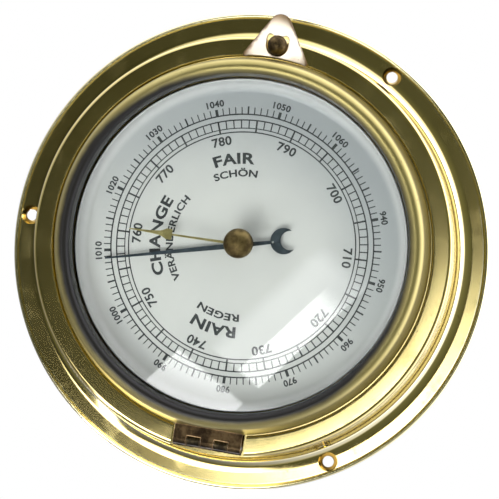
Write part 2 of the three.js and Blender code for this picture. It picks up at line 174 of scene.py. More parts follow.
def prism(outline, low, high):
    """A flat piece: an outline of (x, y) points raised from one height to another."""
    bm = bmesh.new()
    floor = [bm.verts.new(spot(x, y, low)) for x, y in outline]
    roof = [bm.verts.new(spot(x, y, high)) for x, y in outline]
    bm.faces.new(floor)
    bm.faces.new(roof)
    for i in range(len(outline)):
        after = (i + 1) % len(outline)
        bm.faces.new((floor[i], floor[after], roof[after], roof[i]))
    bmesh.ops.recalc_face_normals(bm, faces=bm.faces)
    return bm


def slab(low_x, high_x, low_y, high_y, low_h, high_h):
    return prism([(low_x, low_y), (high_x, low_y), (high_x, high_y), (low_x, high_y)], low_h, high_h)


def crossbar(radius, low_y, high_y, x, h, segments=48, edge=0.0):
    """A round bar along y, with its end edges broken."""
    bm = bmesh.new()
    stations = [(low_y, radius - edge), (low_y + edge, radius)]
    stations += [(high_y - edge, radius), (high_y, radius - edge)]
    rings = []
    for y, r in stations:
        angles = [2 * math.pi * i / segments for i in range(segments)]
        rings.append([bm.verts.new(spot(x + r * math.cos(a), y, h + r * math.sin(a))) for a in angles])
    for low, high in zip(rings, rings[1:]):
        for i in range(segments):
            after = (i + 1) % segments
            bm.faces.new((low[i], low[after], high[after], high[i]))
    bm.faces.new(rings[0])
    bm.faces.new(rings[-1])
    bmesh.ops.recalc_face_normals(bm, faces=bm.faces)
    return bm


def to_object(name, bm):
    mesh = bpy.data.meshes.new(name)
    bm.to_mesh(mesh)
    bm.free()
    thing = bpy.data.objects.new(name, mesh)
    bpy.context.scene.collection.objects.link(thing)
    return thing


def apply_modifiers(thing):
    graph = bpy.context.evaluated_depsgraph_get()
    mesh = bpy.data.meshes.new_from_object(thing.evaluated_get(graph))
    thing.modifiers.clear()
    thing.data = mesh


def combine(thing, tools, operation):
    for tool in tools:
        helper = to_object("helper", tool)
        step = thing.modifiers.new("step", "BOOLEAN")
        step.operation = operation
        step.solver = "EXACT"
        step.object = helper
        apply_modifiers(thing)
        bpy.data.objects.remove(helper)


def cut(thing, *tools):
    combine(thing, tools, "DIFFERENCE")


def add(thing, *tools):
    combine(thing, tools, "UNION")


def soften(thing, width, segments=3, angle=35):
    """Rounds the edges of a piece."""
    bevel = thing.modifiers.new("bevel", "BEVEL")
    bevel.width = width * MM
    bevel.segments = segments
    bevel.limit_method = "ANGLE"
    bevel.angle_limit = math.radians(angle)
    bevel.harden_normals = False
    apply_modifiers(thing)


def shade(thing, angle=32):
    """Smooth shading that keeps sharp edges sharp and flat faces flat."""
    mesh = thing.data
    mesh.polygons.foreach_set("use_smooth", [True] * len(mesh.polygons))
    mesh.set_sharp_from_angle(angle=math.radians(angle))
    weights = thing.modifiers.new("weights", "WEIGHTED_NORMAL")
    weights.keep_sharp = True
    apply_modifiers(thing)


def piece(thing, body, slot, material, *nodes, angle=32):
    """Finishes a piece: shading, material, body and the CAD nodes that it stands for, which it hides. The
    record slot is not used.
    """
    if thing.type == "MESH":
        shade(thing, angle)
    thing.data.materials.clear()
    thing.data.materials.append(material)
    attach(thing, body)
    if nodes:
        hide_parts(*nodes)
    return thing


# ------------------------------------------------------------------ material tools


class Shader:
    """A material under construction, with short names for the nodes that the finishes share."""

    def __init__(self, name):
        self.material = bpy.data.materials.new(name)
        self.material.use_nodes = True
        self.tree = self.material.node_tree
        self.base = self.tree.nodes["Principled BSDF"]
        self.place = self.node("ShaderNodeTexCoord").outputs["Object"]

    def node(self, kind, **inputs):
        made = self.tree.nodes.new(kind)
        for name, value in inputs.items():
            self.feed(made.inputs[name], value)
        return made

    def feed(self, socket, value):
        if isinstance(value, bpy.types.NodeSocket):
            self.tree.links.new(value, socket)
        else:
            socket.default_value = value

    def noise(self, scale, detail=4.0, roughness=0.55, vector=None):
        made = self.node("ShaderNodeTexNoise", Scale=scale, Detail=detail, Roughness=roughness)
        self.feed(made.inputs["Vector"], vector or self.place)
        return made.outputs["Fac"]

    def math(self, operation, first, second=0.0, clamp=False):
        made = self.tree.nodes.new("ShaderNodeMath")
        made.operation = operation
        made.use_clamp = clamp
        self.feed(made.inputs[0], first)
        self.feed(made.inputs[1], second)
        return made.outputs[0]

    def span(self, value, low, high, to_low=0.0, to_high=1.0):
        """Maps low..high onto to_low..to_high with a smooth step, clamped."""
        made = self.tree.nodes.new("ShaderNodeMapRange")
        made.interpolation_type = "SMOOTHSTEP"
        for index, number in enumerate((value, low, high, to_low, to_high)):
            self.feed(made.inputs[index], number)
        return made.outputs[0]

    def blend(self, amount, first, second):
        made = self.tree.nodes.new("ShaderNodeMix")
        made.data_type = "RGBA"
        self.feed(made.inputs["Factor"], amount)
        self.feed(made.inputs[6], first)
        self.feed(made.inputs[7], second)
        return made.outputs[2]

    def radius(self, x=0.0, y=0.0):
        """Distance in mm from a line square to the wall."""
        parts = self.node("ShaderNodeSeparateXYZ", Vector=self.place).outputs
        across = self.math("SUBTRACT", parts[0], x * MM)
        along = self.math("SUBTRACT", parts[2], y * MM)
        squares = self.math("ADD", self.math("POWER", across, 2.0), self.math("POWER", along, 2.0))
        return self.math("DIVIDE", self.math("SQRT", squares), MM)

    def edge_wear(self, width):
        """1 along edges, 0 on open faces."""
        bevel = self.tree.nodes.new("ShaderNodeBevel")
        bevel.samples = 6
        bevel.inputs["Radius"].default_value = width * MM
        true_normal = self.tree.nodes.new("ShaderNodeNewGeometry").outputs["Normal"]
        made = self.tree.nodes.new("ShaderNodeVectorMath")
        made.operation = "DOT_PRODUCT"
        self.feed(made.inputs[0], bevel.outputs["Normal"])
        self.feed(made.inputs[1], true_normal)
        return self.span(made.outputs["Value"], 0.995, 0.86)

    def bump(self, height, strength, distance):
        made = self.node("ShaderNodeBump", Strength=strength, Distance=distance * MM, Height=height)
        self.feed(self.base.inputs["Normal"], made.outputs["Normal"])

    def finish(self, colour, roughness, metallic=1.0, coat=0.0):
        self.feed(self.base.inputs["Base Color"], colour)
        self.feed(self.base.inputs["Roughness"], roughness)
        self.feed(self.base.inputs["Metallic"], metallic)
        self.feed(self.base.inputs["Coat Weight"], coat)
        return self.material


def rgb(red, green, blue):
    return (red, green, blue, 1.0)


# ------------------------------------------------------------------ materials

BRASS = rgb(0.85, 0.71, 0.31)
SHEEN_PALE = rgb(0.95, 0.90, 0.62)
BRASS_DEEP = rgb(0.64, 0.50, 0.17)
BRASS_BROWN = rgb(0.20, 0.125, 0.045)
SATIN_BRASS = rgb(0.52, 0.445, 0.175)
SATIN_BRASS_DEEP = rgb(0.37, 0.305, 0.105)
LACQUER_AND_SHADE_BLACK = rgb(0.012, 0.011, 0.010)
GLASS_INDEX = 1.5


def spun_brass(name, tarnish=0.25, sinks=()):
    """Polished spun brass: turning lines, cloudy tarnish, fine brown specks, darker brown in the
    countersinks, and a painted sheen that pales the front of the lip and the cove.
    """
    shader = Shader(name)
    cloud = shader.noise(34, 6, 0.6)
    speck = shader.span(shader.noise(420, 2, 0.5), 0.70, 0.78)
    smear = shader.span(shader.noise(90, 5, 0.65), 0.45, 0.75)
    colour = shader.blend(shader.span(cloud, 0.42, 0.75, 0.0, tarnish + 0.35), BRASS, BRASS_DEEP)
    colour = shader.blend(shader.math("MULTIPLY", speck, tarnish * 1.6), colour, BRASS_BROWN)
    for clock in sinks:
        x, y = on_clock(HOLE_CIRCLE, clock)
        colour = shader.blend(shader.span(shader.radius(x, y), 3.7, 3.2, 0.0, 0.6), colour, BRASS_BROWN)
    depth = shader.node("ShaderNodeSeparateXYZ", Vector=shader.place).outputs[1]
    off_wall = shader.span(depth, -0.0018, -0.0028)
    front = shader.math("MULTIPLY", off_wall, shader.span(depth, -0.0115, -0.0085))
    # Painted sheen: the front of the cove and the lip are paled towards a light brass, in place of their
    # bright highlights.
    cove = shader.math("MULTIPLY", shader.span(shader.radius(), 81.5, 80.0), front)
    lip = shader.math("MULTIPLY", shader.span(shader.radius(), 87.4, 88.4), front)
    rub_and_sheen = shader.math("ADD", lip, cove)
    colour = shader.blend(shader.math("MINIMUM", rub_and_sheen, 0.65), colour, SHEEN_PALE)
    grain = shader.node("ShaderNodeCombineXYZ", X=shader.radius(), Y=shader.math("MULTIPLY", cloud, 0.3))
    lines = shader.noise(2.6, 6, 0.7, grain.outputs[0])
    rough = shader.span(smear, 0.0, 1.0, 0.10, 0.10 + tarnish * 0.3)
    shader.bump(shader.math("ADD", lines, shader.math("MULTIPLY", speck, 0.5)), 0.05, 0.06)
    return shader.finish(colour, rough)


def bezel_brass():
    """Satin bezel brass with a black lacquered throat. The black runs on out over the moulding as painted
    shade, furthest on the side away from the finger tab and least beside it.
    """
    shader = Shader("bezel_brass")
    cloud = shader.noise(40, 6, 0.6)
    speck = shader.span(shader.noise(500, 2, 0.5), 0.70, 0.77)
    colour = shader.blend(shader.span(cloud, 0.42, 0.72, 0.0, 0.5), SATIN_BRASS, SATIN_BRASS_DEEP)
    colour = shader.blend(shader.math("MULTIPLY", speck, 0.4), colour, BRASS_BROWN)
    place = shader.node("ShaderNodeSeparateXYZ", Vector=shader.place).outputs
    # Painted shade: this side gradient lets the black reach further out on the side away from the tab.
    towards_lit_side = shader.math("SUBTRACT", place[0], shader.math("MULTIPLY", place[2], 0.8))
    wear_and_shade = shader.span(towards_lit_side, -0.03, 0.055, 0.0, 3.1)
    reach = shader.math("ADD", shader.radius(), wear_and_shade)
    reach = shader.math("ADD", reach, shader.span(cloud, 0.3, 0.7, -0.4, 0.4))
    lacquer_and_shade = shader.span(reach, BEZEL - 1.6, BEZEL - 5.2)
    colour = shader.blend(lacquer_and_shade, colour, LACQUER_AND_SHADE_BLACK)
    shader.bump(shader.noise(160, 5, 0.6), 0.05, 0.08)
    duller = shader.span(shader.radius(), BEZEL - 5.2, BEZEL - 1.0)
    metal = shader.math("SUBTRACT", 1.0, shader.math("MULTIPLY", lacquer_and_shade, 0.8))
    return shader.finish(colour, shader.math("ADD", shader.math("MULTIPLY", duller, 0.04), 0.40), metal)


def brown_brass(name, light, dark, wear_and_shade):
    """Old unpolished brass: brown patina with edges brightened by wear."""
    shader = Shader(name)
    cloud = shader.noise(260, 6, 0.62)
    pits = shader.noise(1500, 3, 0.6)
    colour = shader.blend(shader.span(cloud, 0.35, 0.68), dark, light)
    rub_and_sheen = shader.math("MULTIPLY", shader.edge_wear(0.45), shader.span(cloud, 0.35, 0.6, 0.35, 1.0))
    colour = shader.blend(rub_and_sheen, colour, wear_and_shade)
    shader.bump(pits, 0.18, 0.06)
    return shader.finish(colour, shader.span(cloud, 0.3, 0.7, 0.58, 0.42))


def gilt_tab():
    """The finger tab: its pale face colour is a painted reflection of the window, and brown painted shade
    darkens it with distance from the stud, along its flanks and on its edges, with fine brown specks over
    it.
    """
    shader = Shader("gilt_tab")
    cloud = shader.noise(210, 5, 0.6)
    # Painted reflection: the pale face colour stands in for the window mirrored in the tab; the brown marks
    # painted shade and fine specks.
    pale = rgb(0.97, 0.86, 0.72)
    brown = rgb(0.17, 0.10, 0.04)
    nose = shader.span(shader.radius(STUD_X - 2, STUD_Y), 7.8, 12.6)
    place = shader.node("ShaderNodeSeparateXYZ", Vector=shader.place).outputs
    nose_x = 0.0808  # metres, like the two coordinates it is taken from
    nose_y = -0.0014
    flank = math.radians(60)
    outward = shader.math("MULTIPLY", shader.math("SUBTRACT", place[0], nose_x), round(math.cos(flank), 3))
    sideways = shader.math("ABSOLUTE", shader.math("SUBTRACT", place[2], nose_y))
    sideways = shader.math("MULTIPLY", sideways, round(math.sin(flank), 3))
    outward = shader.math("ADD", outward, sideways)
    outward = shader.math("ADD", outward, shader.span(cloud, 0.3, 0.7, -0.0004, 0.0005))
    # Painted shade along the flanks and edges.
    edge = shader.math("MAXIMUM", shader.edge_wear(0.8), shader.span(outward, 0.0030, 0.0042, 0.0, 0.85))
    colour = shader.blend(shader.math("MULTIPLY", nose, 0.9), pale, brown)
    colour = shader.blend(edge, colour, brown)
    speck = shader.span(shader.noise(900, 2), 0.71, 0.76)
    colour = shader.blend(shader.math("MULTIPLY", speck, 0.6), colour, brown)
    shader.bump(shader.noise(520, 4), 0.08, 0.05)
    return shader.finish(colour, shader.span(cloud, 0.35, 0.7, 0.34, 0.46))


def dial_enamel():
    """Satin pale grey lacquer with a faint mottle and dust, a little warmer towards the rim, with painted
    shade that darkens it away from a point off the middle and a painted highlight on the dished rim.
    """
    shader = Shader("dial_enamel")
    mottle = shader.noise(60, 4, 0.5)
    cool = shader.blend(shader.span(mottle, 0.3, 0.7), rgb(0.66, 0.68, 0.655), rgb(0.69, 0.71, 0.68))
    warm = rgb(0.74, 0.74, 0.69)
    colour = shader.blend(shader.span(shader.radius(), DIAL_RIM - 9, DIAL_RIM - 2, 0.0, 0.6), cool, warm)
    # Painted shade: the lacquer is darkened with distance from a point left of and above the middle.
    painted_shade = shader.span(shader.radius(-19.7, 8.8), 34, 80, 0.0, 0.85)
    colour = shader.blend(painted_shade, colour, rgb(0.34, 0.375, 0.40))
    # Painted highlight: the dished rim is lightened towards white.
    rim = shader.span(shader.radius(), DIAL_RIM - 4.2, DIAL_RIM - 1.6, 0.0, 0.45)
    colour = shader.blend(rim, colour, rgb(0.90, 0.90, 0.89))
    dust = shader.span(shader.noise(900, 2), 0.74, 0.80)
    colour = shader.blend(shader.math("MULTIPLY", dust, 0.12), colour, rgb(0.35, 0.33, 0.28))
    shader.bump(shader.noise(700, 3), 0.03, 0.03)
    return shader.finish(colour, shader.span(mottle, 0.3, 0.7, 0.30, 0.40), 0.0, 0.25)


def print_ink():
    shader = Shader("print_ink")
    fade = shader.noise(240, 3)
    colour = shader.blend(shader.span(fade, 0.3, 0.7), rgb(0.022, 0.028, 0.032), rgb(0.05, 0.058, 0.06))
    return shader.finish(colour, 0.6, 0.0)


def window_glass():
    """Clear glass: what is behind shows through, and the room is mirrored by the Fresnel law."""
    shader = Shader("window_glass")
    tree = shader.tree
    clear = shader.node("ShaderNodeBsdfTransparent", Color=rgb(0.962, 0.970, 0.966))
    smear = shader.span(shader.noise(26, 5, 0.7), 0.5, 0.8, 0.0, 0.045)
    mirror = shader.node("ShaderNodeBsdfGlossy", Roughness=smear, Color=rgb(1, 1, 1))
    leaving = shader.node("ShaderNodeNewGeometry").outputs["Backfacing"]
    index = shader.span(leaving, 0.0, 1.0, GLASS_INDEX, 1 / GLASS_INDEX)
    fresnel = shader.node("ShaderNodeFresnel", IOR=index)
    mixed = shader.node("ShaderNodeMixShader", Fac=fresnel.outputs[0])
    tree.links.new(clear.outputs[0], mixed.inputs[1])
    tree.links.new(mirror.outputs[0], mixed.inputs[2])
    tree.links.new(mixed.outputs[0], tree.nodes["Material Output"].inputs["Surface"])
    return shader.material


def blued_steel():
    shader = Shader("blued_steel")
    cloud = shader.noise(300, 4)
    colour = shader.blend(shader.span(cloud, 0.3, 0.7), rgb(0.055, 0.075, 0.095), rgb(0.09, 0.115, 0.135))
    shader.bump(shader.noise(1800, 3), 0.08, 0.02)
    return shader.finish(colour, shader.span(cloud, 0.3, 0.7, 0.30, 0.42))


def ground_metal(name, light, dark, roughness):
    """Ground or lacquered metal for the movement, with a fine straight grain."""
    shader = Shader(name)
    grain = shader.node("ShaderNodeMapping", Vector=shader.place)
    grain.inputs["Scale"].default_value = (40.0, 1500.0, 1500.0)
    lines = shader.noise(1.0, 4, 0.6, grain.outputs[0])
    cloud = shader.noise(90, 4)
    colour = shader.blend(shader.span(cloud, 0.3, 0.7), dark, light)
    shader.bump(lines, 0.10, 0.02)
    return shader.finish(colour, shader.span(lines, 0.3, 0.7, roughness - 0.06, roughness + 0.08))


def black_rubber():
    shader = Shader("black_rubber")
    grain = shader.noise(1200, 4)
    colour = shader.blend(grain, rgb(0.010, 0.010, 0.010), rgb(0.028, 0.027, 0.025))
    shader.bump(grain, 0.2, 0.04)
    return shader.finish(colour, 0.7, 0.0)


CASE_BRASS = spun_brass("case_brass", 0.2, HOLE_CLOCKS)
COVER_BRASS = spun_brass("cover_brass", 0.45)
SMALL_BRASS = spun_brass("small_brass", 0.3)
BEZEL_BRASS = bezel_brass()
TAB_PAINTED_GLARE = gilt_tab()
HINGE_BROWN = brown_brass(
    "hinge_brown", rgb(0.09, 0.07, 0.04), rgb(0.02, 0.016, 0.011), rgb(0.42, 0.29, 0.14)
)
LEAF_GOLD = brown_brass("leaf_gold", rgb(0.12, 0.08, 0.04), rgb(0.03, 0.02, 0.012), rgb(0.75, 0.50, 0.27))
KNOB_BRASS = brown_brass(
    "knob_brass", rgb(0.23, 0.175, 0.07), rgb(0.09, 0.065, 0.028), rgb(0.22, 0.17, 0.08)
)
STUD_BROWN = brown_brass("stud_brown", rgb(0.20, 0.14, 0.06), rgb(0.05, 0.035, 0.018), rgb(0.5, 0.34, 0.16))
ENAMEL = dial_enamel()
INK = print_ink()
GLAZING = window_glass()
BLUED = blued_steel()
STEEL = ground_metal("ground_steel", rgb(0.56, 0.57, 0.59), rgb(0.40, 0.41, 0.43), 0.30)
NICKEL = ground_metal("nickel", rgb(0.72, 0.71, 0.67), rgb(0.58, 0.57, 0.53), 0.24)
MOVEMENT_BRASS = ground_metal("movement_brass", rgb(0.78, 0.62, 0.30), rgb(0.60, 0.46, 0.20), 0.34)
HAND_BRASS = brown_brass("hand_brass", rgb(0.50, 0.45, 0.20), rgb(0.33, 0.29, 0.12), rgb(0.60, 0.54, 0.26))
RUBBER = black_rubber()


# ------------------------------------------------------------------ case


def sink_tool(radius, mouth, low, high, clock, circle):
    """A countersunk hole's cutter: a straight bore that opens to a cone and then a straight mouth."""
    below = low - 2
    above = high + 3
    profile = [(0, below), (radius, below), (radius, low), (mouth, high), (mouth, above), (0, above)]
    return lathe(profile, 48, on_clock(circle, clock))


def case_profile():
    """The shell's section: back, rolled lip, cove, drum, shoulder, the bezel's seat and the hollow."""
    lip = 0.9
    cove = 6.0
    shoulder = 1.6
    drum = 76.4
    mouth = 69
    ledge = 62.5
    back_hole = 58
    back_seat = 1.8
    back_wall = 4.3
    return [
        (COVER + 0.3, 0),
        (FLANGE - 0.5, 0),
        (FLANGE - 0.15, 0.15),
        (FLANGE, 0.5),
        *arc((FLANGE - lip, FLANGE_FRONT), lip, 0, 172, 14),
        (FLANGE - 2 * lip - 0.15, FLANGE_FRONT - 0.01),
        *arc((84, FLANGE_FRONT + cove), cove, 270, 186, 16),
        (77.8, 13),
        *arc((drum - shoulder, CASE_TOP - shoulder), shoulder, 3, 89, 14),
        (70.2, CASE_TOP + 0.01),
        (mouth + 0.5, CASE_TOP - 0.04),
        (mouth + 0.15, CASE_TOP - 0.4),
        (mouth, CASE_TOP - 0.9),
        (mouth, CASE_TOP - 2),
        (ledge, CASE_TOP - 2),
        (ledge, CASE_TOP - 4),
        (drum - 2.6, CASE_TOP - 4),
        (drum - 1.8, back_wall),
        (back_hole, back_wall),
        (back_hole, back_seat),
        (COVER + 0.3, back_seat),
    ]


def build_case():
    body = to_object("case_body", lathe(case_profile(), 240))
    pocket_half = HINGE_HALF + 1
    pocket = slab(-81, -67, -pocket_half, pocket_half, CASE_TOP - 1.9, 41)
    holes = [sink_tool(2.1, 3.6, 1.2, FLANGE_FRONT, clock, HOLE_CIRCLE) for clock in HOLE_CLOCKS]
    stem_hole = [(0, CASE_TOP - 2.4), (2.1, CASE_TOP - 2.4), (2.1, CASE_TOP + 1), (0, CASE_TOP + 1)]
    stem = lathe(stem_hole, 32, (STUD_X, STUD_Y))
    seat_holes = [sink_tool(1.6, 1.6, 1, 5, clock, COVER_SCREW_CIRCLE) for clock in COVER_SEAT_CLOCKS]
    cut(body, *holes, pocket, stem, *seat_holes)
    piece(body, "case", "polished_brass", CASE_BRASS, "case_shell", angle=28)


def build_back():
    disc = [
        (0, 0),
        (COVER - 2.0, 0),
        (COVER - 0.35, 0),
        (COVER, 0.3),
        (COVER, COVER_FRONT),
        (0, COVER_FRONT),
    ]
    cover = to_object("back_cover", lathe(disc, 128))
    sinks = []
    for clock in COVER_SCREW_CLOCKS:
        profile = [(0, -1), (3.1, -1), (3.1, 0.15), (1.6, 1.35), (1.6, 3), (0, 3)]
        sinks.append(lathe(profile, 32, on_clock(COVER_SCREW_CIRCLE, clock)))
    adjuster_x = corner("adjusting_screw", 0, 0) + 2.6
    adjuster = lathe([(0, -1), (3.2, -1), (3.2, 3), (0, 3)], 32, (adjuster_x, 0))
    rings = [lathe([(r, -1), (r + 0.35, -1), (r + 0.35, 0.12), (r, 0.12)], 128) for r in (56, 57.2)]
    cut(cover, adjuster, *sinks, *rings)
    piece(cover, "case", "polished_brass", COVER_BRASS, "rear_cover")
    for index, clock in enumerate(COVER_SCREW_CLOCKS):
        place = on_clock(COVER_SCREW_CIRCLE, clock)
        profile = [(0, 0.05), (2.7, 0.05), (2.85, 0.15), (1.3, 1.3), (1.3, 4.1), (0, 4.1)]
        screw = to_object("back_screw_%d" % (index + 1), lathe(profile, 32, place))
        slot = slab(place[0] - 4, place[0] + 4, place[1] - 0.35, place[1] + 0.35, -1, 0.6)
        cut(screw, slot)
        piece(screw, "case", "polished_brass", SMALL_BRASS, "rear_cover_screw_%d" % (index + 1))


def build_stud():
    """The snap stud that the tab's hole drops over: a waisted stem under a slightly pointed dome."""
    centre = STUD_TOP - STUD_RADIUS
    profile = [(0, STUD_FOOT), (1.8, STUD_FOOT), (1.8, centre - 3.1)]
    for i in range(17):
        angle = math.radians(-58 + 148 * i / 16)
        profile.append((STUD_RADIUS * max(math.cos(angle), 0.0), centre + STUD_RADIUS * math.sin(angle)))
    profile[-1] = (0, STUD_TOP)
    stud = to_object("snap_stud", lathe(profile, 48, (STUD_X, STUD_Y)))
    piece(stud, "case", "tarnished_brass", STUD_BROWN, "latch_stud")


# ------------------------------------------------------------------ hinge


def knuckle_span(index):
    """Where one knuckle starts and ends along the pin."""
    step = 2 * HINGE_HALF / KNUCKLES
    start = -HINGE_HALF + index * step
    return start + 0.1, start + step - 0.1


def build_leaf(name, node, plate, own, body, material):
    """A hinge leaf: its plate, its own knuckles, and gaps for the other leaf's knuckles."""
    leaf = to_object(name, plate)
    knuckle = 2.1
    for index in range(KNUCKLES):
        low, high = knuckle_span(index)
        if index in own:
            add(leaf, crossbar(knuckle, low, high, HINGE_X, HINGE_H, 40, 0.12))
        else:
            cut(leaf, crossbar(knuckle + 0.3, low - 0.2, high + 0.2, HINGE_X, HINGE_H, 40))
    bore = 0.85
    cut(leaf, crossbar(bore, -HINGE_HALF - 1, HINGE_HALF + 1, HINGE_X, HINGE_H, 24))
    piece(leaf, body, "tarnished_brass", material, node)


def build_hinge():
    half = HINGE_HALF - 0.1
    low = CASE_TOP - 1.6
    fixed = slab(-75, HINGE_X + 0.4, -half, half, low, low + 1.6)
    build_leaf("hinge_leaf_fixed", "hinge_fixed_leaf", fixed, (1, 3), "case", HINGE_BROWN)
    low = HINGE_H + 0.8
    moving = slab(HINGE_X - 0.2, corner("hinge_moving_leaf", 1, 0), -half, half, low, low + 1.2)
    build_leaf("hinge_leaf_moving", "hinge_moving_leaf", moving, (0, 2, 4), "bezel", LEAF_GOLD)
    rod = crossbar(PIN_RADIUS, -HINGE_HALF, HINGE_HALF, HINGE_X, HINGE_H, 24, 0.15)
    pin = to_object("hinge_pin_rod", rod)
    piece(pin, "case", "steel", STEEL, "hinge_pin")


# ------------------------------------------------------------------ bezel and glass


def bezel_profile():
    throat = BEZEL - 7.9
    seat = GLASS_BACK + 2.3
    return [
        (BEZEL - 0.3, BEZEL_BASE),
        (BEZEL, BEZEL_BASE + 0.3),
        (BEZEL, BEZEL_BASE + 1.6),
        (BEZEL - 0.2, BEZEL_BASE + 2.4),
        *arc((BEZEL - 5.3, BEZEL_CREST - 3.4), 3.2, 12, 92, 20, 3.4 / 3.2),
        *arc((BEZEL - 5.3, BEZEL_CREST - 2.4), 2.4, 95, 172, 14),
        (throat + 0.05, BEZEL_CREST - 3.6),
        (throat, BEZEL_CREST - 4.6),
        (throat, seat + 0.25),
        (throat + 0.25, seat),
        (GLASS + 0.3, seat),
        (GLASS + 0.3, BEZEL_BASE),
    ]


def build_bezel():
    rim = to_object("bezel_rim", lathe(bezel_profile(), 240))
    pocket_half = HINGE_HALF + 1
    pocket_end = corner("hinge_moving_leaf", 1, 0) + 0.3
    cut(rim, slab(-73, pocket_end, -pocket_half, pocket_half, HINGE_H + 0.4, 52))
    piece(rim, "bezel", "polished_brass", BEZEL_BRASS, "bezel_ring", angle=28)
    for name, node, slot, material, inner in (
        ("glass_seal", "glass_gasket", "black_rubber", RUBBER, 61.2),
        ("retaining_ring", "glass_retaining_ring", "tarnished_brass", MOVEMENT_BRASS, 61.0),
    ):
        low = -corner(node, 1, 1)
        high = -corner(node, 0, 1)
        outer = corner(node, 1, 0)
        edge = 0.12
        profile = [
            (inner + edge, low),
            (outer - edge, low),
            (outer, low + edge),
            (outer, high - edge),
            (outer - edge, high),
            (inner + edge, high),
            (inner, high - edge),
            (inner, low + edge),
        ]
        piece(to_object(name, lathe(profile, 160)), "bezel", slot, material, node)


def build_glass():
    """A pane 2 mm thick that rises 2 mm from its rim to its middle, drilled for the set hand's bush."""
    rise = 2.0
    thick = 2.0
    hole = 2.3
    radii = [hole + (GLASS - 0.2 - hole) * i / 24 for i in range(25)]
    under = [(r, GLASS_BACK + rise * (1 - (r / GLASS) ** 2)) for r in radii]
    over = [(r, h + thick) for r, h in reversed(under)]
    rim = [(GLASS, GLASS_BACK + 0.25), (GLASS, GLASS_BACK + 1.8)]
    pane = to_object("glass_pane", lathe(under + rim + over, 160))
    piece(pane, "bezel", "clear_glass", GLAZING, "glass", angle=50)


def build_tab():
    """The finger tab: a rounded triangle whose base follows the bezel, with a hole for the stud."""
    nose = 4.0
    tip = 1.1
    base = 68.95
    nose_x = TAB_NOSE - nose
    corner_angle = math.radians(8.9)
    outline = []
    for side in (-1, 1):
        corner_x = base * math.cos(corner_angle) + 0.5
        corner_y = base * math.sin(corner_angle) * side
        for i in range(7):
            angle = math.radians((200 if side < 0 else 60) + 100 * i / 6)
            outline.append((corner_x + tip * math.cos(angle), corner_y + tip * math.sin(angle)))
        if side < 0:
            for i in range(17):
                angle = math.radians(-60 + 120 * i / 16)
                outline.append((nose_x + nose * math.cos(angle), nose * math.sin(angle)))
    for i in range(17):
        angle = math.radians(8 - 16 * i / 16)
        outline.append((base * math.cos(angle), base * math.sin(angle)))
    tab = to_object("finger_tab", prism(outline, TAB_BACK, TAB_FRONT))
    hole = []
    middle = STUD_X + 0.1
    for i in range(25):
        angle = math.radians(90 + 180 * i / 24)
        hole.append((middle + 3.8 * math.cos(angle), 3.9 * math.sin(angle)))
    hole += [(middle + 2.8, -3.9), (middle + 3.7, -3.4), (middle + 3.9, -2.6), (middle + 3.3, -1.9)]
    hole += [(middle + 3.3, 1.9), (middle + 3.9, 2.6), (middle + 3.7, 3.4), (middle + 2.8, 3.9)]
    cut(tab, prism(hole, TAB_BACK - 1, TAB_FRONT + 1))
    soften(tab, 0.3, 4)
    lift = Matrix.Rotation(-math.radians(TAB_LIFT), 4, "Z")
    turn = Matrix.Rotation(-math.radians(TAB_TURN), 4, "Y")
    foot = spot(base, 0, TAB_BACK)
    tab.data.transform(turn @ Matrix.Translation(foot) @ lift @ Matrix.Translation(-foot))
    piece(tab, "bezel", "polished_brass", TAB_PAINTED_GLARE, "thumb_tab")


# ------------------------------------------------------------------ set hand and knob


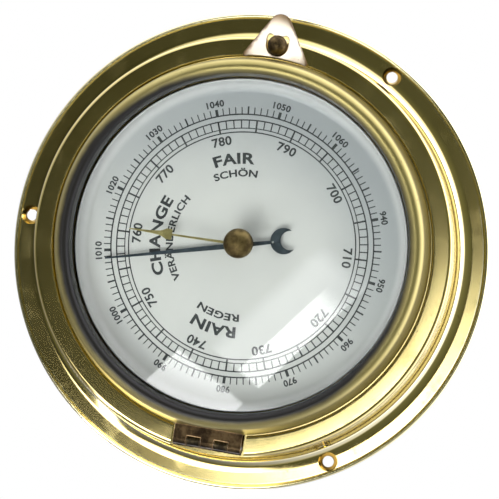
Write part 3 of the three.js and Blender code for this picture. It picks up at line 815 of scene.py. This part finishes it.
def build_set_hand():
    knob_edge = KNOB_RADIUS - 0.55
    socket = 1.2
    socket_end = 47.3
    profile = [(0, socket_end), (socket, socket_end), (socket, KNOB_BASE)]
    profile += [(knob_edge - 0.2, KNOB_BASE), (knob_edge + 0.2, KNOB_BASE + 0.15)]
    profile += arc((KNOB_RADIUS - 0.6, KNOB_BASE + 1.0), 0.6, -60, 30, 6)
    dome_foot = KNOB_BASE + 1.3
    dome = KNOB_TOP - dome_foot
    for i in range(15):
        angle = math.radians(6 + 84 * i / 14)
        profile.append(((KNOB_RADIUS - 0.12) * math.cos(angle), dome_foot + dome * math.sin(angle)))
    profile[-1] = (0, KNOB_TOP)
    knob = to_object("set_hand_knob", lathe(profile, 64))
    piece(knob, "set_hand_group", "tarnished_brass", KNOB_BRASS, "set_knob")

    spindle = [(0, 39.2), (0.8, 39.2), (1.0, 39.4), (1.0, 46.8), (0.8, 47), (0, 47)]
    spindle = to_object("set_hand_spindle", lathe(spindle, 32))
    piece(spindle, "set_hand_group", "hand_brass", HAND_BRASS, "set_shaft")

    side = [(0.34, 25.0), (1.75, 25.0), (1.95, 25.3), (1.95, 27.2), (1.55, 27.8)]
    side += [(0.85, 29.4), (0.55, 32), (0.4, 35), (0.2, 40.8)]
    hub = []
    hub_radius = 2.8
    for i in range(33):
        angle = math.radians(100.3 + 339.4 * i / 32)
        hub.append((hub_radius * math.cos(angle), hub_radius * math.sin(angle)))
    outline = hub + side + [(-x, y) for x, y in reversed(side)]
    turned = [turn(point, SET_HAND_CLOCK) for point in outline]
    blade = to_object("set_hand_blade", prism(turned, SET_HAND_BACK, SET_HAND_FRONT))
    cut(blade, lathe([(0, 39), (1.15, 39), (1.15, 41), (0, 41)], 32))
    soften(blade, 0.12, 2)
    piece(blade, "set_hand_group", "hand_brass", HAND_BRASS, "set_hand")

    edge = 0.15
    head = 3.6
    bush = [(1.15, 41.2), (2.0, 41.2), (2.0, 44.7), (head - edge, 44.7), (head, 44.7 + edge)]
    bush += [(head, 45.35), (head - edge, 45.5), (1.15, 45.5)]
    bush = to_object("glass_bush_turned", lathe(bush, 48))
    piece(bush, "bezel", "polished_brass", SMALL_BRASS, "glass_bush")
    nut = to_object("glass_bush_nut", prism([on_clock(head, 30 + 60 * i) for i in range(6)], 41.2, 42.1))
    cut(nut, lathe([(0, 40), (2.1, 40), (2.1, 43), (0, 43)], 32))
    soften(nut, 0.1, 2)
    piece(nut, "bezel", "polished_brass", SMALL_BRASS, "bush_nut")


# ------------------------------------------------------------------ pointer


def build_pointer():
    tail = 15.5
    arm = [(0.3, 50), (0.6, 30), (0.95, 3), (0.8, -3), (0.62, -tail + 4.6)]
    outline = arm + [(-x, y) for x, y in reversed(arm)]
    outline = [turn(point, POINTER_CLOCK) for point in outline]
    thing = to_object("pointer_blade", prism(outline, POINTER_BACK, POINTER_FRONT))

    def disc(radius, y, low, high):
        profile = [(0, low), (radius, low), (radius, high), (0, high)]
        return lathe(profile, 64, turn((0, y), POINTER_CLOCK))

    moon = to_object("moon", disc(4.8, -tail, POINTER_BACK, POINTER_FRONT))
    cut(moon, disc(3.5, -tail - 2.4, POINTER_BACK - 1, POINTER_FRONT + 1))
    crescent = bmesh.new()
    crescent.from_mesh(moon.data)
    bpy.data.objects.remove(moon)
    add(thing, crescent, disc(3.1, 0, POINTER_BACK, POINTER_FRONT))
    cut(thing, disc(2.05, 0, POINTER_BACK - 1, POINTER_FRONT + 1))
    cut(thing, disc(0.42, -tail + 3.9, POINTER_BACK - 1, POINTER_FRONT + 1))
    soften(thing, 0.14, 2)
    piece(thing, "pointer_group", "blued_steel", BLUED, "pointer")
    boss = [(0.55, 35), (1.75, 35), (1.9, 35.2), (1.9, 37.2), (1.5, 37.6), (0.55, 37.6)]
    boss = to_object("pointer_boss", lathe(boss, 40))
    piece(boss, "pointer_group", "blued_steel", BLUED, "pointer_collet")


# ------------------------------------------------------------------ dial


def build_dial():
    flat = DIAL_RIM - 4.4
    profile = [
        (2.4, DIAL_BACK),
        (flat, DIAL_BACK),
        *arc((flat, DIAL_BACK + 4.4), 4.4, 272, 358, 12),
        (DIAL_RIM, DIAL_TOP - 0.3),
        (DIAL_RIM - 0.3, DIAL_TOP),
        (DIAL_RIM - 0.7, DIAL_TOP - 0.2),
        *arc((flat - 0.1, DIAL_BACK + 4.4), 3.6, 356, 272, 12),
        (2.6, DIAL_FRONT),
        (2.4, DIAL_FRONT - 0.2),
    ]
    face = to_object("dial_face", lathe(profile, 200))
    piece(face, "case", "dial_enamel", ENAMEL, "dial")


INK_LOW = 0.006
INK_HIGH = 0.04


def ink_bar(bm, clock, inner, outer, width):
    """One printed tick, straight and square to its circle."""
    angle = math.radians(clock + DIAL_TURN)
    out = Vector((math.sin(angle), math.cos(angle)))
    side = Vector((out.y, -out.x)) * width / 2
    flat = [out * inner - side, out * inner + side, out * outer + side, out * outer - side]
    low = [bm.verts.new(spot(p.x, p.y, DIAL_FRONT + INK_LOW)) for p in flat]
    high = [bm.verts.new(spot(p.x, p.y, DIAL_FRONT + INK_HIGH)) for p in flat]
    faces = [bm.faces.new(low), bm.faces.new(high)]
    for i in range(4):
        after = (i + 1) % 4
        faces.append(bm.faces.new((low[i], low[after], high[after], high[i])))
    bmesh.ops.recalc_face_normals(bm, faces=faces)


def ink_ring(bm, radius, width, start=0.0, end=360.0):
    """A printed circle, or the part of one between two clock angles."""
    steps = max(8, int((end - start) / 1.5))
    whole = end - start >= 360
    within = radius - width / 2
    beyond = radius + width / 2
    rows = []
    for i in range(steps if whole else steps + 1):
        clock = start + (end - start) * i / steps + DIAL_TURN
        row = []
        for r, h in ((within, INK_LOW), (beyond, INK_LOW), (beyond, INK_HIGH), (within, INK_HIGH)):
            x, y = on_clock(r, clock)
            row.append(bm.verts.new(spot(x, y, DIAL_FRONT + h)))
        rows.append(row)
    faces = []
    pairs = list(zip(rows, rows[1:]))
    if whole:
        pairs.append((rows[-1], rows[0]))
    else:
        faces += [bm.faces.new(rows[0]), bm.faces.new(rows[-1])]
    for first, second in pairs:
        for i in range(4):
            after = (i + 1) % 4
            faces.append(bm.faces.new((first[i], first[after], second[after], second[i])))
    bmesh.ops.recalc_face_normals(bm, faces=faces)


FONT_CAP = 0.729  # height of the font's capitals and figures, as a part of its size
HPA_LOW = 940
HPA_HIGH = 1060
HPA_TICKS = range(HPA_LOW - 8, HPA_HIGH + 6)
HPA_AT_TOP = 1013.25
HPA_DEGREES = 2.7
MM_AT_TOP = 760
MM_DEGREES = 3.6


def hpa_clock(pressure):
    return (pressure - HPA_AT_TOP) * HPA_DEGREES


def build_scales():
    """The outer scale in hectopascals, outward from its line, and the inner one in mm of mercury."""
    line = 47.95
    pressure = bmesh.new()
    ink_ring(pressure, line, 0.5)
    for value in HPA_TICKS:
        if value % 10 == 0:
            ink_bar(pressure, hpa_clock(value), line, line + 2.5, 1.05)
        elif value % 5 == 0:
            ink_bar(pressure, hpa_clock(value), line, line + 2.9, 0.6)
        else:
            ink_bar(pressure, hpa_clock(value), line, line + 2.6, 0.38)
    piece(to_object("scale_hectopascal", pressure), "case", "dial_enamel", INK)

    outer, middle, inner = 45.85, 42.85, 41.45
    mercury = bmesh.new()
    ink_ring(mercury, outer, 0.48)
    ink_ring(mercury, middle, 0.36)
    ink_ring(mercury, inner, 0.44)
    for value in range(100):
        if value % 5 == 0:
            ink_bar(mercury, value * MM_DEGREES, inner, outer, 0.62)
        else:
            ink_bar(mercury, value * MM_DEGREES, middle, outer, 0.42)
    piece(to_object("scale_millimetre", mercury), "case", "dial_enamel", INK)


def letters(name, words):
    """Printed words bent round the dial: (text, clock, radius of the middle, height, width, weight)."""
    bm = bmesh.new()
    for text, clock, radius, height, width, weight in words:
        curve = bpy.data.curves.new("word", "FONT")
        curve.body = text
        curve.align_x = "CENTER"
        curve.offset = weight
        curve.resolution_u = 4
        curve.space_character = 1.05
        curve.extrude = 0.5
        word = bpy.data.objects.new("word", curve)
        bpy.context.scene.collection.objects.link(word)
        graph = bpy.context.evaluated_depsgraph_get()
        flat = bpy.data.meshes.new_from_object(word.evaluated_get(graph))
        across = [vert.co.x for vert in flat.vertices]
        middle = (min(across) + max(across)) / 2
        stretch = width / (max(across) - min(across))
        scale = height / FONT_CAP
        for vert in flat.vertices:
            x, y, z = vert.co
            bend = math.degrees((x - middle) * stretch / radius)
            place = on_clock(radius - height / 2 + y * scale, clock + DIAL_TURN + bend)
            vert.co = spot(place[0], place[1], DIAL_FRONT + (INK_HIGH if z > 0 else INK_LOW))
        part = bmesh.new()
        part.from_mesh(flat)
        bmesh.ops.remove_doubles(part, verts=part.verts, dist=1e-7)
        bmesh.ops.recalc_face_normals(part, faces=part.faces)
        part.to_mesh(flat)
        part.free()
        bm.from_mesh(flat)
        bpy.data.objects.remove(word)
        bpy.data.curves.remove(curve)
        bpy.data.meshes.remove(flat)
    piece(to_object(name, bm), "case", "dial_enamel", INK)


def build_lettering():
    outer = []
    for value in range(HPA_LOW, HPA_HIGH + 1, 10):
        outer.append((str(value), hpa_clock(value), 52.6, 2.35, 6.5 if value >= 1000 else 4.9, 0.032))
    letters("numerals_hectopascal", outer)
    inner = []
    for value in range(700, 800, 10):
        inner.append((str(value), (value - MM_AT_TOP) * MM_DEGREES, 38.75, 3.25, 7.2, 0.026))
    letters("numerals_millimetre", inner)
    big = 31.95
    small = 26.55
    letters(
        "weather_words",
        [
            ("CHANGE", 0, big, 3.95, 29.6, 0.034),
            ("FAIR", 78, big, 3.95, 15.4, 0.034),
            ("RAIN", -78, big, 3.95, 16.9, 0.034),
            ("VERÄNDERLICH", 0, small, 2.6, 32.6, 0.03),
            ("SCHÖN", 78, small, 2.6, 16.2, 0.03),
            ("REGEN", -78, small, 2.6, 15.9, 0.03),
        ],
    )


# ------------------------------------------------------------------ movement: CAD shapes with fine finishes

FINISH_BY_SLOT = {
    "movement_brass": MOVEMENT_BRASS,
    "steel": STEEL,
    "nickel_silver": NICKEL,
    "blued_steel": BLUED,
    "tarnished_brass": HINGE_BROWN,
    "polished_brass": SMALL_BRASS,
    "hand_brass": HAND_BRASS,
    "black_rubber": RUBBER,
    "clear_glass": GLAZING,
    "dial_enamel": ENAMEL,
}


def finish_movement():
    """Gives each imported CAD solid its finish. The pieces built after it stand in for those that show."""
    for entry in frame["record"]["subparts"]:
        thing = frame["nodes"][entry["node"]]
        material = FINISH_BY_SLOT[entry["material_slot"]]
        thing.data.materials.clear()
        thing.data.materials.append(material)


# ------------------------------------------------------------------ stage, light and camera

ROLL = 9.6
CAMERA = Vector((72.1, -45.1, 795.5))
AIM = Vector((-0.2, 0.47, 0.0))
FRAME_WIDTH = 189.3

WINDOW_SLANT = 0.92
STRIP_SHINE = 3.9
SHEER_SHINE = 1.9
LOW_SHINE = 5.2
BELOW_SHINE = 4.2
BESIDE_SHINE = 1.4


def picture_axes():
    """The picture's right and up, and the way to the viewer. The instrument lies a quarter turn round."""
    angle = math.radians(ROLL)
    up = Vector((math.cos(angle), 0, math.sin(angle)))
    right = Vector((math.sin(angle), 0, -math.cos(angle)))
    return right, up, Vector((0, -1, 0))


def build_camera():
    right, up, towards = picture_axes()
    place = (right * CAMERA.x + up * CAMERA.y + towards * CAMERA.z) * MM
    aim = (right * AIM.x + up * AIM.y) * MM
    back = (place - aim).normalized()
    side = up.cross(back).normalized()
    data = bpy.data.cameras.new("camera")
    data.sensor_width = 36
    data.lens = data.sensor_width * (place - aim).length / MM / FRAME_WIDTH
    data.clip_start = 0.01
    camera = bpy.data.objects.new("camera", data)
    camera.matrix_world = Matrix((side, back.cross(side), back)).transposed().to_4x4()
    camera.location = place
    bpy.context.scene.collection.objects.link(camera)
    bpy.context.scene.camera = camera


class Sky(Shader):
    """The studio: white to the camera, and soft panels in a dim room to everything that mirrors it."""

    def __init__(self):
        world = bpy.data.worlds.new("studio")
        world.use_nodes = True
        bpy.context.scene.world = world
        self.tree = world.node_tree
        self.way = self.node("ShaderNodeTexCoord").outputs["Generated"]

    def along(self, direction):
        made = self.tree.nodes.new("ShaderNodeVectorMath")
        made.operation = "DOT_PRODUCT"
        self.feed(made.inputs[0], self.way)
        self.feed(made.inputs[1], direction)
        return made.outputs["Value"]


def window_panes(sky, u, v, w):
    """How bright the slanting window before the instrument is: a strip, a sheer pane and a low pane."""
    across = sky.math("SUBTRACT", v, sky.math("MULTIPLY", u, WINDOW_SLANT))
    along = sky.math("ADD", v, sky.math("MULTIPLY", u, 0.85))
    inside = sky.math("MULTIPLY", sky.span(across, -0.0505, -0.0465), sky.span(w, 0.0, 0.3))
    upper = sky.math("MULTIPLY", inside, sky.span(along, -0.179, -0.171))
    strip = sky.math("MULTIPLY", sky.span(along, 0.025, -0.02), sky.span(across, -0.001, -0.005))
    sheer = sky.math("MULTIPLY", sky.span(along, 0.08, 0.03), sky.span(across, 0.065, 0.03))
    low = sky.math("MULTIPLY", sky.span(along, -0.206, -0.214), sky.span(across, 0.09, 0.085))
    low = sky.math("MULTIPLY", low, inside)
    strip = sky.math("MULTIPLY", strip, STRIP_SHINE)
    sheer = sky.math("MULTIPLY", sheer, SHEER_SHINE)
    shine = sky.math("MULTIPLY", sky.math("ADD", strip, sheer), upper)
    return sky.math("ADD", shine, sky.math("MULTIPLY", low, LOW_SHINE))


def build_sky():
    """A dim room with pale walls, a bright patch low on the picture's left, and the window."""
    sky = Sky()
    right, up, towards = picture_axes()
    u = sky.along(right)
    v = sky.along(up)
    w = sky.along(towards)
    flat = sky.math("SQRT", sky.math("ADD", sky.math("MULTIPLY", u, u), sky.math("MULTIPLY", v, v)))
    flat = sky.math("MAXIMUM", flat, 0.001)
    rightness = sky.math("DIVIDE", u, flat)
    upness = sky.math("DIVIDE", v, flat)
    lean = sky.math("ADD", sky.math("MULTIPLY", rightness, 0.55), sky.math("MULTIPLY", upness, 0.42))
    walls = sky.math("MAXIMUM", sky.math("ADD", lean, 0.64), 0.08)
    ground = sky.math("MAXIMUM", sky.math("ADD", lean, 0.75), 0.25)
    dim_right = sky.math("MULTIPLY", sky.math("MAXIMUM", rightness, 0.0), 0.22)
    height = sky.math("SUBTRACT", w, sky.math("MULTIPLY", upness, 0.10))
    height = sky.math("ADD", height, dim_right)
    beside = sky.math("MULTIPLY", sky.span(height, 0.78, 0.58, 0.0, BESIDE_SHINE), walls)
    beside = sky.math("ADD", beside, sky.math("MULTIPLY", sky.span(w, 0.20, -0.05), ground))
    beside = sky.math("MULTIPLY", beside, sky.span(w, -0.55, -0.30, 0.28, 1.0))
    room = sky.math("MAXIMUM", sky.math("ADD", 0.085, sky.math("MULTIPLY", u, 0.17)), 0.045)
    below = sky.math("MULTIPLY", sky.span(v, -0.13, -0.15), sky.span(v, -0.74, -0.60))
    below = sky.math("MULTIPLY", below, sky.span(u, -0.03, -0.06))
    below = sky.math("MULTIPLY", below, sky.span(u, -0.47, -0.40))
    light = sky.math("ADD", room, sky.math("MULTIPLY", below, BELOW_SHINE))
    light = sky.math("ADD", light, window_panes(sky, u, v, w))
    light = sky.math("ADD", light, beside)
    olive = sky.blend(sky.span(light, 0.5, 0.2), rgb(1, 1, 1), rgb(0.96, 1.0, 0.66))
    tinted = sky.tree.nodes.new("ShaderNodeVectorMath")
    tinted.operation = "MULTIPLY"
    sky.feed(tinted.inputs[0], light)
    sky.feed(tinted.inputs[1], sky.blend(sky.span(w, 0.6, 0.2), olive, rgb(1.0, 1.0, 1.12)))
    camera_ray = sky.node("ShaderNodeLightPath").outputs["Is Camera Ray"]
    strength = sky.blend(camera_ray, tinted.outputs[0], rgb(1, 1, 1))
    shown = sky.tree.nodes["Background"]
    sky.feed(shown.inputs["Color"], strength)
    shown.inputs["Strength"].default_value = 1.0


def build_floor():
    """A pale paper floor. The brass mirrors the room and not the floor, as in the picture."""
    bm = bmesh.new()
    depth = -0.25
    reach = 6
    behind = 1.5
    for x, y in ((-reach, -reach), (reach, -reach), (reach, behind), (-reach, behind)):
        bm.verts.new((x, y, depth))
    bm.faces.new(bm.verts)
    floor = to_object("floor", bm)
    shader = Shader("floor_paper")
    colour = shader.blend(shader.noise(3, 2), rgb(0.88, 0.88, 0.87), rgb(0.91, 0.91, 0.90))
    floor.data.materials.append(shader.finish(colour, 0.9, 0.0))
    floor.visible_glossy = False


def build_lights():
    """A soft key light beyond the photo's lower left."""
    data = bpy.data.lights.new("key", "AREA")
    data.energy = 9.4
    data.size = 0.7
    data.color = rgb(1.0, 0.985, 0.95)[:3]
    light = bpy.data.objects.new("key", data)
    light.location = (-0.85, -1.15, 0.25)
    light.rotation_mode = "QUATERNION"
    light.rotation_quaternion = Vector(light.location).to_track_quat("Z", "Y")
    bpy.context.scene.collection.objects.link(light)
    light.visible_glossy = False
    light.visible_camera = False


finish_movement()
build_case()
build_back()
build_stud()
build_hinge()
build_bezel()
build_glass()
build_tab()
build_set_hand()
build_pointer()
build_dial()
build_scales()
build_lettering()
build_camera()
build_sky()
build_lights()
build_floor()
bpy.context.scene.view_settings.view_transform = "Standard"
